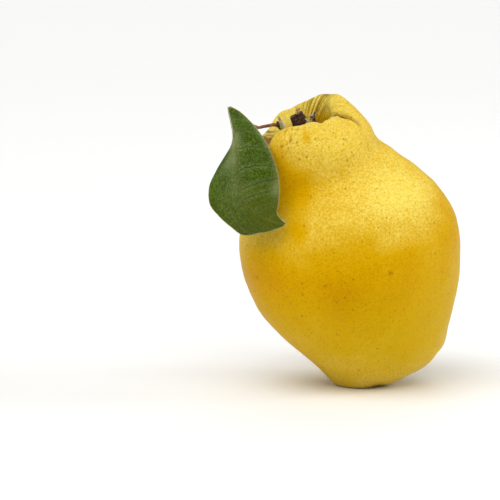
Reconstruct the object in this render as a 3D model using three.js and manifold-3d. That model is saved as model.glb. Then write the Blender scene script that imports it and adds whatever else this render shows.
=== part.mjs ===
// A whole quince, as picked: the fruit, the woody stub of its twig with one leaf, and the dry calyx
// at the blossom end. It lies on the rim of its blossom end, with the stem end up and to the left.
//
// Millimetres and degrees. +Z is up, +X is right and +Y is away from the front.
// The origin is the middle of the flat spot that the fruit rests on.

import * as THREE from 'three';
import Module from 'manifold-3d';

const wasm = await Module();
wasm.setup();

// ---------------------------------------------------------------- driving dimensions

// The fruit's spine runs from the rim of the blossom end, low at the back right, to the stem end.
const SPINE_LENGTH = 103;
const SPINE = new THREE.CubicBezierCurve3(
  new THREE.Vector3(11, 10, 4.4),
  new THREE.Vector3(1, -3, 35.7),
  new THREE.Vector3(-6, -2, 70),
  new THREE.Vector3(-18.5, -10, 103),
);

// The fruit's rings, from the floor of the blossom hollow, out round the body, to the floor of the
// stem hollow: height along the spine, radius and shift to the right, in millimetres, and then how
// much of the stem furrows, of the blossom furrows and of the body's ribs each ring shows.
const RINGS = [
  [9.5, 0, 0, 0, 0, 0],
  [9, 3.5, 0, 0, 0, 0],
  [5.5, 7, 0, 0, 0.7, 0],
  [1.5, 10, 0, 0, 1, 0],
  [0.5, 13.5, 0, 0, 1, 0],
  [3.5, 18.5, 0.3, 0, 0.9, 0.05],
  [11, 25, 2.2, 0, 0.2, 0.4],
  [24, 32.8, 1.2, 0, 0, 0.8],
  [38, 39, 0, 0, 0, 1],
  [52, 41.2, 0, 0, 0, 1],
  [64, 38.9, -1, 0, 0, 1],
  [72.5, 33.6, -2.2, 0, 0, 1],
  [78.5, 28.6, -2, 0, 0, 0.65],
  [83.5, 25.4, -1.2, 0, 0, 0.1],
  [89, 23.4, -1.3, 0, 0, 0],
  [95, 21.2, -2, 0.1, 0, 0],
  [100, 18.3, -2.3, 0.65, 0, 0],
  [102.3, 15.4, -1.9, 1, 0, 0],
  [100.8, 12.4, -1.8, 1, 0, 0],
  [96.5, 9.6, -1.8, 0.9, 0, 0],
  [92.5, 6.6, -1.8, 0.3, 0, 0],
  [91.2, 3, -1.8, 0, 0, 0],
  [91, 0, -1.8, 0, 0, 0],
];

// Furrows across the two rims: angle round the spine, depth and half width.
// Angle 0 is to the right, 90 to the back, 180 to the left and -90 to the front.
const STEM_FURROWS = [
  [-64, 0.8, 5],
  [-30, 1.6, 8],
  [44, 0.6, 13],
  [108, 0.9, 12],
  [176, 0.4, 14],
  [214, 3.4, 10],
];
const BLOSSOM_FURROWS = [
  [-98, 1.6, 13],
  [-22, 1.9, 12],
  [52, 1.5, 13],
  [121, 2, 12],
  [190, 1.7, 13],
];
const STEM_LOBE = 1; // how far the lobes between the furrows stand proud
const BLOSSOM_LOBE = 0.5;

// The stem end's rim is higher to the right than to the left, and a little saddled.
const RIM_TILT = { height: 1.4, angle: 40 };
const RIM_SADDLE = { height: 0.5, angle: 50 };

const RIBS = { count: 5, height: 0.7, turn: 40 };

// Broad swellings and dents: height, angle, reach along the spine, reach round it, amount.
const SWELLINGS = [
  [6, 222, 8, 45, 1.6],
  [1, -60, 5, 28, -1.3],
  [5.5, -14, 5, 34, 2.6],
  [68, -65, 7, 45, 1.2],
  [75, 3, 6, 40, 1.2],
  [71.5, -91, 7, 14, 0.8],
  [72, -77, 8, 8, -0.7],
  [83, -78, 6, 60, -2.5],
  [81, 0, 3, 35, 0.7],
  [87.5, -5, 3.5, 30, -1.5],
  [94, -78, 7, 50, 1.2],
  [101, -108, 6, 38, 2.8],
  [102, -112, 4, 22, 0.9],
  [102, -36, 5, 14, -0.8],
  [102, -20, 5, 18, -1.2],
  [102, 80, 4, 16, -0.9],
  [102, 119, 4, 17, 0.8],
  [102, 152, 4, 18, -1.2],
];
const FADE_RADIUS = 4; // the relief dies out this close to the spine

const FLAT_BLEND = 1; // height over which the fruit's round side runs into its flat spot

// The leaf: lines from the base of the blade to its tip.
const LEAF_BASE = [-48.1, -14, 106.5];
const LEAF_TIP = [-26.7, -38.5, 66.5];
const MIDRIB = [
  LEAF_BASE, [-47.3, -17, 103.1], [-46.3, -21, 98.7], [-45.3, -24.5, 94.3], [-44.2, -30, 84.9],
  [-42.9, -33.5, 77], [-40.4, -35.5, 72.5], [-36, -37, 68.8], [-31, -38, 67], LEAF_TIP,
];
const RIGHT_MARGIN = [
  LEAF_BASE, [-43.9, -15.5, 104.9], [-38.9, -20, 100.6], [-35.3, -23.8, 96.2], [-32.3, -27, 90.6],
  [-30.1, -29.5, 84.3], [-29.4, -32, 77.8], [-29.9, -34.2, 72.6], [-30.3, -36, 70], [-28.8, -38, 68],
  LEAF_TIP,
];
const LEFT_MARGIN = [
  LEAF_BASE, [-46.9, -11.5, 104.5], [-45.4, -12.5, 99.7], [-44.5, -16.5, 94.9], [-46.6, -19.5, 91.4],
  [-49.4, -21.8, 88.3], [-52.2, -24.7, 83.9], [-54.7, -27.5, 78.5], [-54.5, -30, 72.5],
  [-51.3, -32, 68.4], [-46.9, -33.5, 64.6], [-42.5, -34.8, 61.8], [-35.7, -36.5, 62.8],
  [-29.9, -38, 64.6], LEAF_TIP,
];
const BLADE = { thickness: 0.8, bulge: 0.1, rows: 30, columns: 6 };

// Round and squarish stems: points along the middle, and the radius at each.
const STALK = {
  path: [
    [-23.3, -11, 95.8], [-26.3, -11.9, 97], [-28.6, -12.8, 98.9], [-30.8, -13.3, 99.9],
    [-33.1, -13.4, 99.6], [-35.2, -13.3, 99.2], [-37, -13, 98.9], [-39.3, -12.8, 99.7],
    [-41.5, -12.5, 101.8], [-43.9, -12.8, 104], [-45.9, -13.2, 105.5],
  ],
  radii: [1, 0.9, 0.8, 0.7, 0.62, 0.58, 0.58, 0.6, 0.6, 0.6, 0.5],
};
const SPUR = {
  path: [[-17.6, -8, 91.45], [-19, -8.8, 95.4], [-21.2, -9.8, 99.2], [-23, -10.3, 102.2]],
  radii: [2.6, 2.5, 2.5, 2.6],
  squareness: 0.2,
};
const SPUR_KNOB = {
  path: [[-21.9, -10.2, 100.6], [-22, -10.1, 102.8], [-21.6, -10, 104], [-21.2, -9.9, 104.8]],
  radii: [1.1, 0.8, 0.75, 0.5],
};

// Small dry scales: points along the middle, the width at each, the way the face looks, thickness.
const BRACT = {
  path: [
    [-13.3, -8.2, 92.9], [-14.8, -8.9, 96.6], [-16.5, -9.3, 100.4], [-16.9, -9.6, 102.8],
    [-15.8, -10.2, 104.3],
  ],
  widths: [2.4, 2.4, 2.4, 2.2, 1],
  facing: [0.3, -1, 0.1],
  thickness: 0.9,
  cup: 0.5,
};
const STIPULE = {
  path: [[-27.9, -14.7, 96.4], [-28.5, -15, 98.8], [-29, -14.9, 101], [-29.6, -14.5, 103.1]],
  widths: [1.8, 2.8, 2.8, 1.2],
  facing: [-0.3, -1, 0.1],
  thickness: 0.7,
  cup: 0.4,
};

// The dry calyx in the blossom hollow: heights are measured out of the hollow from its floor.
const CALYX = {
  boss: { radius: 3, foot: 1.35, height: 2.6, sides: 15 },
  sepals: 5,
  turn: 20,
  // radius, height and width along each sepal
  sepal: [[2.2, 1.4, 2.6], [3.8, 3, 3.3], [4.8, 5.4, 3.2], [5.2, 7.6, 2.2], [4.2, 9, 0.9]],
  thickness: 0.8,
  stamens: 12,
  stamen: { radius: 0.35, ring: 1.9, spread: 1.1, height: 5.2, droop: 0.9 },
};

// ---------------------------------------------------------------- small helpers

const radians = THREE.MathUtils.degToRad;
const clamp = THREE.MathUtils.clamp;
const lerp = THREE.MathUtils.lerp;
const bell = (x) => Math.exp(-x * x);
const turnBetween = (a, b) => THREE.MathUtils.euclideanModulo(a - b + 180, 360) - 180;
const vector = (point) => new THREE.Vector3(...point);
const curveThrough = (points) => new THREE.CatmullRomCurve3(points.map(vector), false, 'catmullrom', 0.5);

// The value of a list at a place from 0 to 1 along it, on a smooth Catmull-Rom line.
function smoothRow(rows, place) {
  const at = clamp(place, 0, 1) * (rows.length - 1);
  const i = Math.min(Math.floor(at), rows.length - 2);
  const t = at - i;
  const before = rows[i - 1] ?? rows[i].map((value, k) => 2 * value - rows[i + 1][k]);
  const after = rows[i + 2] ?? rows[i + 1].map((value, k) => 2 * value - rows[i][k]);
  return rows[i].map((b, k) => {
    const [a, c, d] = [before[k], rows[i + 1][k], after[k]];
    const square = 2 * a - 5 * b + 4 * c - d;
    const cube = 3 * b - a - 3 * c + d;
    return (2 * b + (c - a) * t + square * t ** 2 + cube * t ** 3) / 2;
  });
}

const smoothValue = (values, place) => smoothRow(values.map((value) => [value]), place)[0];

// A closed skin over rings of equal length, shut at both ends by a single point.
// mirrorAfter turns the diagonals from that side on, so that a thin sheet's two faces match.
function closedSkin(start, rings, end, mirrorAfter = Infinity) {
  const sides = rings[0].length;
  const points = [start, ...rings.flat(), end];
  const last = points.length - 1;
  const triangles = [];
  const corner = (ring, side) => 1 + ring * sides + (side % sides);
  for (let side = 0; side < sides; side += 1) {
    triangles.push(0, corner(0, side + 1), corner(0, side));
    triangles.push(last, corner(rings.length - 1, side), corner(rings.length - 1, side + 1));
    for (let ring = 0; ring < rings.length - 1; ring += 1) {
      const [a, b] = [corner(ring, side), corner(ring, side + 1)];
      const [d, c] = [corner(ring + 1, side), corner(ring + 1, side + 1)];
      if (side < mirrorAfter) triangles.push(a, b, c, a, c, d);
      else triangles.push(a, b, d, b, c, d);
    }
  }
  const geometry = new THREE.BufferGeometry().setFromPoints(points);
  geometry.setIndex(triangles);
  return enclosedVolume(geometry) < 0 ? insideOut(geometry) : geometry;
}

function enclosedVolume(geometry) {
  const index = geometry.index.array;
  const corners = [0, 1, 2].map(() => new THREE.Vector3());
  let volume = 0;
  for (let i = 0; i < index.length; i += 3) {
    corners.forEach((corner, k) => corner.fromBufferAttribute(geometry.attributes.position, index[i + k]));
    volume += corners[0].dot(corners[1].cross(corners[2])) / 6;
  }
  return volume;
}

function insideOut(geometry) {
  geometry.setIndex(Array.from(geometry.index.array).reverse());
  return geometry;
}

// Joins closed geometries that overlap into one solid.
function fuse(geometries) {
  const solids = geometries.map((geometry) => new wasm.Manifold(new wasm.Mesh({
    numProp: 3,
    vertProperties: new Float32Array(geometry.attributes.position.array),
    triVerts: new Uint32Array(geometry.index.array),
  })));
  const mesh = solids.reduce((joined, solid) => joined.add(solid)).getMesh();
  const geometry = new THREE.BufferGeometry();
  geometry.setAttribute('position', new THREE.BufferAttribute(mesh.vertProperties, 3));
  geometry.setIndex(Array.from(mesh.triVerts));
  return geometry;
}

// ---------------------------------------------------------------- the fruit

// The spine at a height: its point, its own right and back directions, and the way up along it.
function spineAt(height) {
  const t = clamp(height / SPINE_LENGTH, -0.2, 1.2);
  const step = 1e-4;
  const point = SPINE.getPoint(t);
  const up = SPINE.getPoint(t + step).sub(SPINE.getPoint(t - step)).normalize();
  const right = new THREE.Vector3(1, 0, 0).addScaledVector(up, -up.x).normalize();
  const back = new THREE.Vector3().crossVectors(up, right);
  return { point, right, back, up };
}

const furrowDepth = (furrows, angle) => furrows.reduce(
  (sum, [middle, depth, width]) => sum + depth * bell(turnBetween(angle, middle) / width), 0);

const swelling = (height, angle) => SWELLINGS.reduce(
  (sum, [middle, direction, along, round, amount]) => sum
    + amount * bell((height - middle) / along) * bell(turnBetween(angle, direction) / round), 0);

// A point of the fruit's skin: place 0 is the blossom hollow's floor, place 1 the stem hollow's.
function skinPoint(place, angle) {
  const [height, radius, shift, stem, blossom, rib] = smoothRow(RINGS, place);
  const step = 1e-4;
  const [before, after] = [smoothRow(RINGS, place - step), smoothRow(RINGS, place + step)];
  const along = new THREE.Vector2(after[0] - before[0], after[1] - before[1]).normalize();
  const relief = stem * (STEM_LOBE - furrowDepth(STEM_FURROWS, angle))
    + blossom * (BLOSSOM_LOBE - furrowDepth(BLOSSOM_FURROWS, angle))
    + rib * RIBS.height * Math.cos(radians(RIBS.count * angle + RIBS.turn))
    + clamp(1 + 2 * along.x, 0, 1) * swelling(height, angle);
  const push = relief * clamp(radius / FADE_RADIUS, 0, 1);
  const rim = RIM_TILT.height * Math.cos(radians(angle - RIM_TILT.angle))
    + RIM_SADDLE.height * Math.cos(radians(2 * (angle - RIM_SADDLE.angle)));
  const { point, right, back } = spineAt(height - along.y * push + stem * rim);
  const out = radius + along.x * push;
  point.addScaledVector(right, shift + out * Math.cos(radians(angle)));
  point.addScaledVector(back, out * Math.sin(radians(angle)));
  point.z = settled(point.z);
  return point;
}

// Heights below the surface that the fruit stands on come up to it, with a soft edge.
function settled(z) {
  if (z >= FLAT_BLEND) return z;
  if (z <= -FLAT_BLEND) return 0;
  return (z + FLAT_BLEND) ** 2 / (4 * FLAT_BLEND);
}

// Places along the rings that lie at equal steps over the skin.
function evenPlaces(count) {
  const profile = new THREE.CatmullRomCurve3(
    RINGS.map(([height, radius]) => new THREE.Vector3(height, radius, 0)), false, 'catmullrom', 0.5);
  profile.arcLengthDivisions = 1000;
  return Array.from({ length: count }, (_, i) => profile.getUtoTmapping((i + 1) / (count + 1)));
}

function fruitGeometry() {
  const sides = 84;
  const ringOf = (place) => Array.from({ length: sides }, (_, k) => skinPoint(place, (k * 360) / sides));
  return closedSkin(skinPoint(0, 0), evenPlaces(56).map(ringOf), skinPoint(1, 0));
}

// ---------------------------------------------------------------- stems and scales

// A solid stem along a path. squareness draws its section out towards four corners.
function stemGeometry({ path, radii, squareness = 0 }, sides = 10, steps = (path.length - 1) * 3) {
  const curve = curveThrough(path);
  const frames = curve.computeFrenetFrames(steps, false);
  const rings = frames.normals.map((normal, i) => {
    const middle = curve.getPointAt(i / steps);
    const radius = smoothValue(radii, i / steps);
    return Array.from({ length: sides }, (_, k) => {
      const turn = (k * 2 * Math.PI) / sides;
      const reach = radius * (1 - squareness * Math.cos(4 * turn));
      return middle.clone()
        .addScaledVector(normal, reach * Math.cos(turn))
        .addScaledVector(frames.binormals[i], reach * Math.sin(turn));
    });
  });
  return closedSkin(curve.getPointAt(0), rings, curve.getPointAt(1));
}

// A sheet with two faces, from rows of points across it, shut at both ends by a point.
function sheetGeometry(start, rows, end, thickness) {
  const columns = rows[0].length;
  const pointAt = (i, j) => rows[clamp(i, 0, rows.length - 1)][clamp(j, 0, columns - 1)];
  const rings = rows.map((row, i) => {
    const faces = row.map((point, j) => {
      const along = pointAt(i + 1, j).clone().sub(pointAt(i - 1, j));
      const across = pointAt(i, j + 1).clone().sub(pointAt(i, j - 1));
      const offset = along.cross(across).normalize().multiplyScalar(thickness / 2);
      return [point.clone().add(offset), point.clone().sub(offset)];
    });
    return [...faces.map(([front]) => front), ...faces.map(([, rear]) => rear).reverse()];
  });
  return closedSkin(start, rings, end, columns);
}

// A small dry scale, cupped across its width.
function scaleGeometry({ path, widths, facing, thickness, cup }) {
  const columns = 4;
  const steps = (path.length - 1) * 2;
  const curve = curveThrough(path);
  const rows = Array.from({ length: steps + 1 }, (_, i) => {
    const middle = curve.getPointAt(i / steps);
    const side = curve.getTangentAt(i / steps).cross(vector(facing)).normalize();
    const front = side.clone().cross(curve.getTangentAt(i / steps)).normalize();
    const half = smoothValue(widths, i / steps) / 2;
    return Array.from({ length: columns + 1 }, (__, k) => {
      const across = (2 * k) / columns - 1;
      return middle.clone()
        .addScaledVector(side, half * across)
        .addScaledVector(front, cup * half * across ** 2);
    });
  });
  return sheetGeometry(curve.getPointAt(0), rows, curve.getPointAt(1), thickness);
}

function spurGeometry() {
  return fuse([stemGeometry(SPUR, 16), stemGeometry(SPUR_KNOB, 10)]);
}

// ---------------------------------------------------------------- the leaf

// The blade: each half swells between the midrib and its margin, so the midrib lies in a groove.
function bladeGeometry() {
  const [midrib, right, left] = [MIDRIB, RIGHT_MARGIN, LEFT_MARGIN].map(curveThrough);
  const half = (margin, place, sign) => {
    const middle = midrib.getPointAt(place);
    const span = margin.getPointAt(place).sub(middle);
    const swell = midrib.getTangentAt(place).cross(span).normalize().multiplyScalar(sign);
    return Array.from({ length: BLADE.columns + 1 }, (_, k) => {
      const out = k / BLADE.columns;
      return middle.clone()
        .addScaledVector(span, out)
        .addScaledVector(swell, 4 * out * (1 - out) * BLADE.bulge * span.length());
    });
  };
  const rows = Array.from({ length: BLADE.rows }, (_, i) => {
    const place = (i + 1) / (BLADE.rows + 1);
    return [...half(left, place, -1).reverse(), ...half(right, place, 1).slice(1)];
  });
  return sheetGeometry(vector(LEAF_BASE), rows, vector(LEAF_TIP), BLADE.thickness);
}

// ---------------------------------------------------------------- the calyx

// The blossom hollow's floor, and the directions to measure the calyx in: out is out of the hollow.
function blossomFrame() {
  const { right, back, up } = spineAt(RINGS[0][0]);
  const out = up.clone().negate();
  return (radius, angle, height) => skinPoint(0, 0)
    .addScaledVector(right, radius * Math.cos(radians(angle)))
    .addScaledVector(back, radius * Math.sin(radians(angle)))
    .addScaledVector(out, height);
}

function calyxGeometry() {
  const at = blossomFrame();
  const { boss, sepal, stamen } = CALYX;
  const ring = (radius, height) => Array.from(
    { length: boss.sides }, (_, k) => at(radius, (k * 360) / boss.sides, height));
  const bossSkin = closedSkin(
    at(0, 0, boss.foot), [ring(boss.radius, boss.foot), ring(boss.radius * 0.8, boss.height)],
    at(0, 0, boss.height));
  const sepals = Array.from({ length: CALYX.sepals }, (_, k) => {
    const angle = CALYX.turn + (k * 360) / CALYX.sepals;
    const path = sepal.map(([radius, height]) => at(radius, angle, height).toArray());
    const facing = at(-1, angle, 0).sub(at(0, angle, 0)).toArray();
    return scaleGeometry({ path, widths: sepal.map(([, , width]) => width), facing, thickness: CALYX.thickness, cup: 0.5 });
  });
  const stamens = Array.from({ length: CALYX.stamens }, (_, k) => {
    const angle = (k * 360) / CALYX.stamens;
    const tall = stamen.height + stamen.droop * Math.cos(radians(angle * 5));
    const lean = stamen.ring + stamen.spread * (k % 2);
    const path = [
      at(stamen.ring * 0.7, angle, boss.height - 0.8).toArray(),
      at(lean * 0.8, angle + 8, lerp(boss.height, tall, 0.5)).toArray(),
      at(lean, angle + 20, tall).toArray(),
    ];
    return stemGeometry({ path, radii: [1, 1, 0.9].map((share) => share * stamen.radius) }, 5, 3);
  });
  return fuse([bossSkin, ...sepals, ...stamens]);
}

// ---------------------------------------------------------------- the quince

const FINISHES = {
  skin: new THREE.MeshStandardMaterial({ color: 0xe0b328, roughness: 0.55, metalness: 0 }),
  wood: new THREE.MeshStandardMaterial({ color: 0x3a2a1e, roughness: 0.9, metalness: 0 }),
  scale: new THREE.MeshStandardMaterial({ color: 0x8c8464, roughness: 0.95, metalness: 0 }),
  stalk: new THREE.MeshStandardMaterial({ color: 0x5a3c2a, roughness: 0.8, metalness: 0 }),
  blade: new THREE.MeshStandardMaterial({ color: 0x51641f, roughness: 0.5, metalness: 0 }),
  husk: new THREE.MeshStandardMaterial({ color: 0x6e5a3c, roughness: 0.95, metalness: 0 }),
};

function piece(name, geometry, finish) {
  const mesh = new THREE.Mesh(geometry, FINISHES[finish]);
  mesh.name = name;
  return mesh;
}

const quince = new THREE.Group();
quince.name = 'quince';
quince.add(
  piece('fruit', fruitGeometry(), 'skin'),
  piece('spur', spurGeometry(), 'wood'),
  piece('bract', scaleGeometry(BRACT), 'wood'),
  piece('stipule', scaleGeometry(STIPULE), 'scale'),
  piece('leaf_stalk', stemGeometry(STALK), 'stalk'),
  piece('leaf_blade', bladeGeometry(), 'blade'),
  piece('calyx', calyxGeometry(), 'husk'),
);

export default quince;
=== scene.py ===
"""The looks of a whole quince: the fruit with its twig stub, one leaf and the dry calyx, on a pale floor.

The shapes are worked out in millimetres, as the part itself is, and turned to metres when a mesh is made.
+Z is up, +X is right and -Y is the front. Angles round the fruit are 0 right, 90 back, 180 left, -90 front.
"""

import math

import bpy
import numpy as np
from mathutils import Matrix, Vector, noise


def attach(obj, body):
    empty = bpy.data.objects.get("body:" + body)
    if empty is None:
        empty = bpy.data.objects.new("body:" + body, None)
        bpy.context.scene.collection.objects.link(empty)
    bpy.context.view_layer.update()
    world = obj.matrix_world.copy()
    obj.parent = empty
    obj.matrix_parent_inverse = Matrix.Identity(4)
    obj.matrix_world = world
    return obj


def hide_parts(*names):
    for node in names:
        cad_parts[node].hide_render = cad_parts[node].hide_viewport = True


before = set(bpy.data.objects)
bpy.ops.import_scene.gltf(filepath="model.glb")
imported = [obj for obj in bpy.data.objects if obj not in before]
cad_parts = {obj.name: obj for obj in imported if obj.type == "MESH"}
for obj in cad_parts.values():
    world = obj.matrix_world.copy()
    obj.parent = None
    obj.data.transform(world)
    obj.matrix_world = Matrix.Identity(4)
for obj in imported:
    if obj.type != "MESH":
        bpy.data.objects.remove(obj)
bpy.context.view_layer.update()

MM = 0.001  # metres in a millimetre

# ---------------------------------------------------------------- the fruit's form

SPINE = np.array([(11, 10, 4.4), (1, -3, 35.7), (-6, -2, 70), (-18.5, -10, 103)], float)  # cubic Bezier curve
SPINE_LENGTH = 103

# height along the spine, radius, shift to the right, and how much of the stem furrows, of the
# blossom furrows and of the ribs each ring shows; from one hollow's floor, round the body, to the other's
RINGS = [
    (9.5, 0, 0, 0, 0, 0),
    (9, 3.5, 0, 0, 0, 0),
    (5.5, 7, 0, 0, 0.7, 0),
    (1.5, 10, 0, 0, 1, 0),
    (0.5, 13.5, 0, 0, 1, 0),
    (3.5, 18.5, 0.3, 0, 0.9, 0.05),
    (11, 25, 2.2, 0, 0.2, 0.4),
    (24, 32.8, 1.2, 0, 0, 0.8),
    (38, 39, 0, 0, 0, 1),
    (52, 41.2, 0, 0, 0, 1),
    (64, 38.9, -1, 0, 0, 1),
    (72.5, 33.6, -2.2, 0, 0, 1),
    (78.5, 28.6, -2, 0, 0, 0.65),
    (83.5, 25.4, -1.2, 0, 0, 0.1),
    (89, 23.4, -1.3, 0, 0, 0),
    (95, 21.2, -2, 0.1, 0, 0),
    (100, 18.3, -2.3, 0.65, 0, 0),
    (102.3, 15.4, -1.9, 1, 0, 0),
    (100.8, 12.4, -1.8, 1, 0, 0),
    (96.5, 9.6, -1.8, 0.9, 0, 0),
    (92.5, 6.6, -1.8, 0.3, 0, 0),
    (91.2, 3, -1.8, 0, 0, 0),
    (91, 0, -1.8, 0, 0, 0),
]
BLOSSOM_RIM = 4  # rows of RINGS that are the crests of the two rims
STEM_RIM = 17

# angle, depth, half width of the furrows across each rim, and how far the lobes between stand proud
STEM_FURROWS = [(-64, 0.8, 5), (-30, 1.6, 8), (44, 0.6, 13), (108, 0.9, 12), (176, 0.4, 14), (214, 3.4, 10)]
BLOSSOM_FURROWS = [(-98, 1.6, 13), (-22, 1.9, 12), (52, 1.5, 13), (121, 2, 12), (190, 1.7, 13)]
STEM_LOBE = 1
BLOSSOM_LOBE = 0.5
RIM_TILT = (1.4, 40)  # height and angle
RIM_SADDLE = (0.5, 50)
RIBS = (5, 0.7, 40)  # count, height, turn

# height, angle, reach along the spine, reach round it, amount
SWELLINGS = [
    (6, 222, 8, 45, 1.6),
    (1, -60, 5, 28, -1.3),
    (5.5, -14, 5, 34, 2.6),
    (68, -65, 7, 45, 1.2),
    (75, 3, 6, 40, 1.2),
    (71.5, -91, 7, 14, 0.8),
    (72, -77, 8, 8, -0.7),
    (83, -78, 6, 60, -2.5),
    (81, 0, 3, 35, 0.7),
    (87.5, -5, 3.5, 30, -1.5),
    (94, -78, 7, 50, 1.2),
    (101, -108, 6, 38, 2.8),
    (102, -112, 4, 22, 0.9),
    (102, -36, 5, 14, -0.8),
    (102, -20, 5, 18, -1.2),
    (102, 80, 4, 16, -0.9),
    (102, 119, 4, 17, 0.8),
    (102, 152, 4, 18, -1.2),
]
FADE_RADIUS = 4  # the relief dies out this close to the spine
FLAT_BLEND = 1  # height over which the round side runs into the flat spot

# the crease that runs out of the hollow down the front right of the neck, where the front lobe rolls
# against the right one: distance past the stem rim's crest and angle of points along it, the rim's
# radius there, the crease's depth and half width, and the roll's height, half width and turn from it
CREASE = [(-9.5, -23), (-7, -22.5), (-4.7, -22), (-3, -23), (-1.2, -25), (0.8, -28), (3, -27)]
CREASE_RADIUS = 20
CREASE_FOLD = (1.2, 0.7)
CREASE_ROLL = (0.9, 1.75, -6)

# where the stem rim is thicker or thinner: angle, reach, distance past the crest, its reach, height
RIM_LUMPS = [
    (0, 32, 3.6, 2, 1.2),
    (-76, 12, -0.3, 2.6, 0.85),
    (-47, 6, 0, 2, -0.4),
    (-32, 5, 0, 1.6, 0.5),
]

# the fine relief, which only these looks have: size of each lump and its height
DIMPLES = (9, 0.16)
RIPPLES = (3.2, 0.05)
PUCKERS = (0.07, 9)  # height, and how closely they stand round the fruit

# how lemon the skin is: at heights up the fruit, and in broad patches of it
# (height, angle, reach along the spine, reach round it, amount); below 0 it is amber.
# It is partly the skin's own colour and partly painted light and shade: the lemon neck and shoulders
# paint their highlight, the lemon base offsets the shade where the fruit meets the floor, and amber
# patches paint the leaf's shade on the fruit.
TONE_AND_PAINTED_LIGHT = [
    (0, 0.5), (8, 0.35), (14, 0.15), (25, 0), (52, 0),
    (62, 0.2), (70, 0.5), (84, 0.5), (95, 0.6), (103, 0.7),
]
# the amber patches at (85, -120) and (71, -114) are painted shade of the leaf; the lemon one at (70, -52) is
# a painted highlight on the right shoulder
TONE_AND_PAINTED_LIGHT_PATCHES = [
    (45, -98, 8, 13, -0.55),
    (40, -74, 8, 14, -0.3),
    (22, -59, 8, 14, -0.3),
    (18, -117, 5, 24, 0.25),
    (30, -140, 14, 30, 0.15),
    (57, -142, 9, 18, -0.35),
    (59, -63, 4, 10, 0.3),
    (70, -52, 9, 26, 0.3),
    (71, -114, 4, 8, -0.5),
    (79, -97, 5, 12, 0.1),
    (85, -120, 8, 22, -0.7),
    (64, -36, 10, 16, 0.28),
    (94, -100, 4, 12, 0.1),
    (97, -124, 6, 13, -0.55),
    (100.3, -88, 1.8, 3.5, -0.5),
    (40, 60, 14, 30, -0.4),
    (70, 150, 12, 35, 0.3),
]

# how much green is left in the gold, at heights up the fruit
GREENER = [(0, 1), (22, 1), (38, 0.5), (52, 0)]

# corky streaks show where the skin is drawn into the hollow: angle, half width and strength
STREAKS = [(62, 33, 1), (120, 30, 0.1), (200, 22, 0.8), (-60, 30, 0.12), (-12, 14, 0.3)]
STREAK_TWIST = 26  # degrees the streaks turn on the way down this depth of the hollow
STREAK_TWIST_DEPTH = 6
STREAK_CROWD = 15  # how closely the streaks stand round the hollow
STREAK_STRETCH = 0.08  # how much they change with each millimetre down it

# the dark line along the crease, partly a stain and partly painted shade: half width; and the
# painted shade beside it: distance in, turn, half width, strength
CREASE_LINE = 0.65
CREASE_SHADE = (0.8, 2, 1.1, 0.35)

# stains: on the rim's crest, distance past it, reach, angle, reach; and painted shade down the hollow,
# the depth where it starts and the depth it takes to come in
CREST_STAIN = (0.3, 1.5, 45, 9)
HOLLOW_PAINTED_SHADE = (4.5, 7)

# painted light and shade down the stem hollow: how much more lemon the skin is at these depths;
# the lemon just inside the crest paints light on the wall, the amber deep down paints shade
HOLLOW_PAINTED_LIGHT_AND_SHADE = [(0, 0), (0.8, 0.2), (2, 0.2), (3.5, 0), (6, -0.6)]

# brown bands round the lobe behind the leaf: level, strength; how they fade round the fruit, and
# their reach to each side of the stem rim's crest
BANDS = [(91, 0.5), (93, 1), (95.1, 1), (95.6, 0), (96.2, 0), (96.5, 1), (96.8, 1), (97.1, 0.1)]
BANDED = [(140, 0), (158, 1), (210, 1), (216, 0)]
BAND_REACH = 4

# scars on the skin, 0.5 to 0.8 mm across: place and reach
MARKS = [
    (-27.5, -26.9, 97.8, 0.45), (-26.7, -26, 99.1, 0.3), (-26, -25.9, 99.5, 0.3), (-24.7, -26.5, 99.6, 0.3),
    (-25.4, -28.9, 96.9, 0.35), (-25, -28.8, 97.3, 0.35), (-25, -29.6, 96.1, 0.4), (-25.3, -29.6, 95.8, 0.35),
    (-25.7, -29.6, 95.2, 0.35), (-25, -30, 94.7, 0.3), (-26.1, -29.7, 92.8, 0.35), (-22.9, -30.4, 95, 0.4),
    (-28.7, -28.2, 93.1, 0.4), (-28.3, -28.5, 93.6, 0.4), (-29.9, -26.6, 95.2, 0.3),
    (-28.2, -27.5, 89.4, 0.35),
    (-22.8, -27.9, 99.1, 0.4), (-16.2, -29.9, 96.3, 0.35), (-19.5, -30.6, 89.7, 0.4), (-22.1, -30, 88.8, 0.4),
    (-5.1, -26.5, 95.5, 0.4), (-2.5, -26.7, 89.9, 0.4), (-4.6, -27.9, 88.2, 0.4), (10.4, -41.2, 48.8, 0.5),
    (11.3, -41.1, 48.6, 0.5), (-12.9, -40.3, 43.9, 0.5), (-37.4, -24, 44.7, 0.5), (-9.3, -4.9, 108, 0.35),
    (-8.5, -13, 105.9, 0.4),
]

SKIN_SIDES = 316
SKIN_STEPS = 312

# ---------------------------------------------------------------- the leaf's form

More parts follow.
